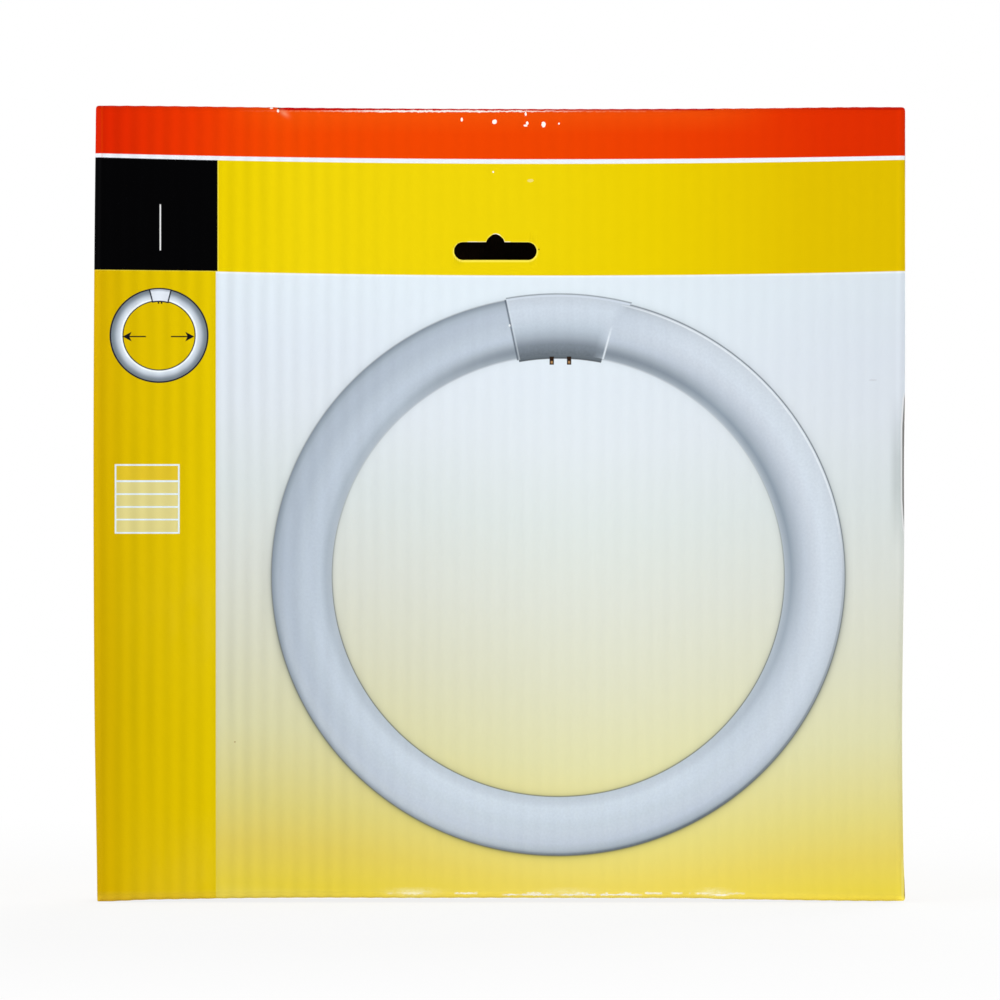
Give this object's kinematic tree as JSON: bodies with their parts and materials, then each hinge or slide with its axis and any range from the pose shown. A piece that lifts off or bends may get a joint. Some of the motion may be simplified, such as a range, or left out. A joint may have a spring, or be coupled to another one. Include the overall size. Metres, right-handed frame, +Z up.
{
  "type": "corrugated retail carton",
  "caption": "Flat, nearly square corrugated carton for a ring lamp, printed, folded from one sheet and glued shut, with a rounded hang slot through its front panel.",
  "frame": {"origin": "centre of the bounding box's bottom, on the plane of the base pads", "axes": "+X to the right across the front, the front panel faces -Y, +Z up from the bottom flaps to the top flaps"},
  "size_m": [0.3188, 0.038, 0.312],
  "materials": {
    "printed_board": "satin printed liner over kraft board"
  },
  "bodies": {
    "root": {"carton": "printed_board"}
  },
  "joints": []
}
